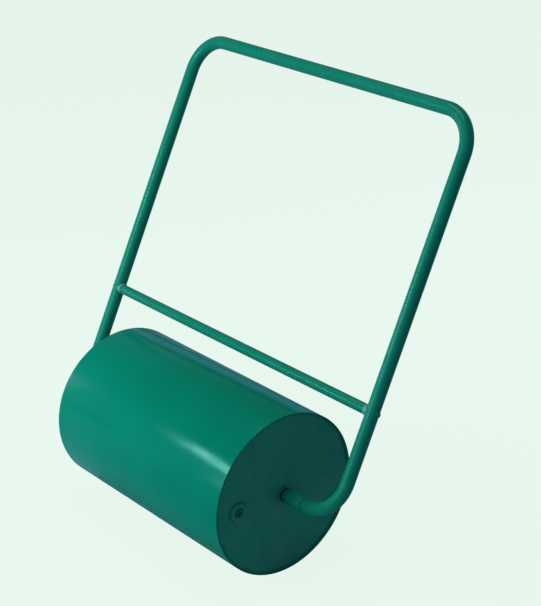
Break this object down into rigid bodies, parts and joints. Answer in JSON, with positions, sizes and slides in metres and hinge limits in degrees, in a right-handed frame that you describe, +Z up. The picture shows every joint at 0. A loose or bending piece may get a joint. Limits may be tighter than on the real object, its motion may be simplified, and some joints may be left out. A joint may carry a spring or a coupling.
{
  "type": "lawn roller",
  "caption": "Water-filled steel drum turning on spindles in a bent tube push handle with a bolted crossbar; a screw plug closes the filler in one end.",
  "frame": {"origin": "on the ground under the middle of the drum, straight below the axle", "axes": "+X along the axle to the right end, which has the filler plug; +Y back, the way the handle leans; +Z up"},
  "size_m": [0.8076, 0.4904, 0.8551],
  "materials": {
    "green_enamel": "glossy",
    "steel": "zinc plated",
    "black_steel": "blackened and oiled",
    "pale_nylon": "moulded satin",
    "green_nylon": "moulded satin",
    "green_plastic": "moulded satin",
    "rubber": "matte"
  },
  "bodies": {
    "handle": {"handle_tube": "green_enamel", "crossbar_tube": "green_enamel", "spindle_left": "green_enamel", "spindle_right": "green_enamel", "collar_left": "green_enamel", "collar_right": "green_enamel", "thrust_washer_left": "black_steel", "thrust_washer_right": "black_steel", "crossbar_insert_left": "steel", "crossbar_insert_right": "steel", "saddle_left": "pale_nylon", "saddle_right": "pale_nylon", "crossbar_bolt_left": "green_enamel", "crossbar_bolt_right": "green_enamel", "bolt_washer_left": "green_enamel", "bolt_washer_right": "green_enamel"},
    "drum": {"drum_shell": "green_enamel", "end_plate_left": "green_enamel", "end_plate_right": "green_enamel", "centre_tube": "green_enamel", "bush_left": "green_nylon", "bush_right": "green_nylon", "filler_socket": "green_enamel"},
    "gasket": {"plug_gasket": "rubber"},
    "plug": {"filler_plug": "green_plastic"}
  },
  "joints": [
    {"name": "drum_spin", "type": "hinge", "parent": "handle", "child": "drum", "pos_m": [0, 0, 0.15885], "axis": [1, 0, 0], "continuous": true},
    {"name": "plug_withdraw", "type": "slide", "parent": "drum", "child": "gasket", "axis": [1, 0, 0], "range_m": [0, 0.018]},
    {"name": "plug_turn", "type": "hinge", "parent": "gasket", "child": "plug", "pos_m": [0.25, -0.107, 0.15885], "axis": [1, 0, 0], "range_deg": [0, 1620]}
  ],
  "couplings": [
    {"joint": "plug_withdraw", "follows": "plug_turn", "m_per_rad": 0.00063662}
  ]
}
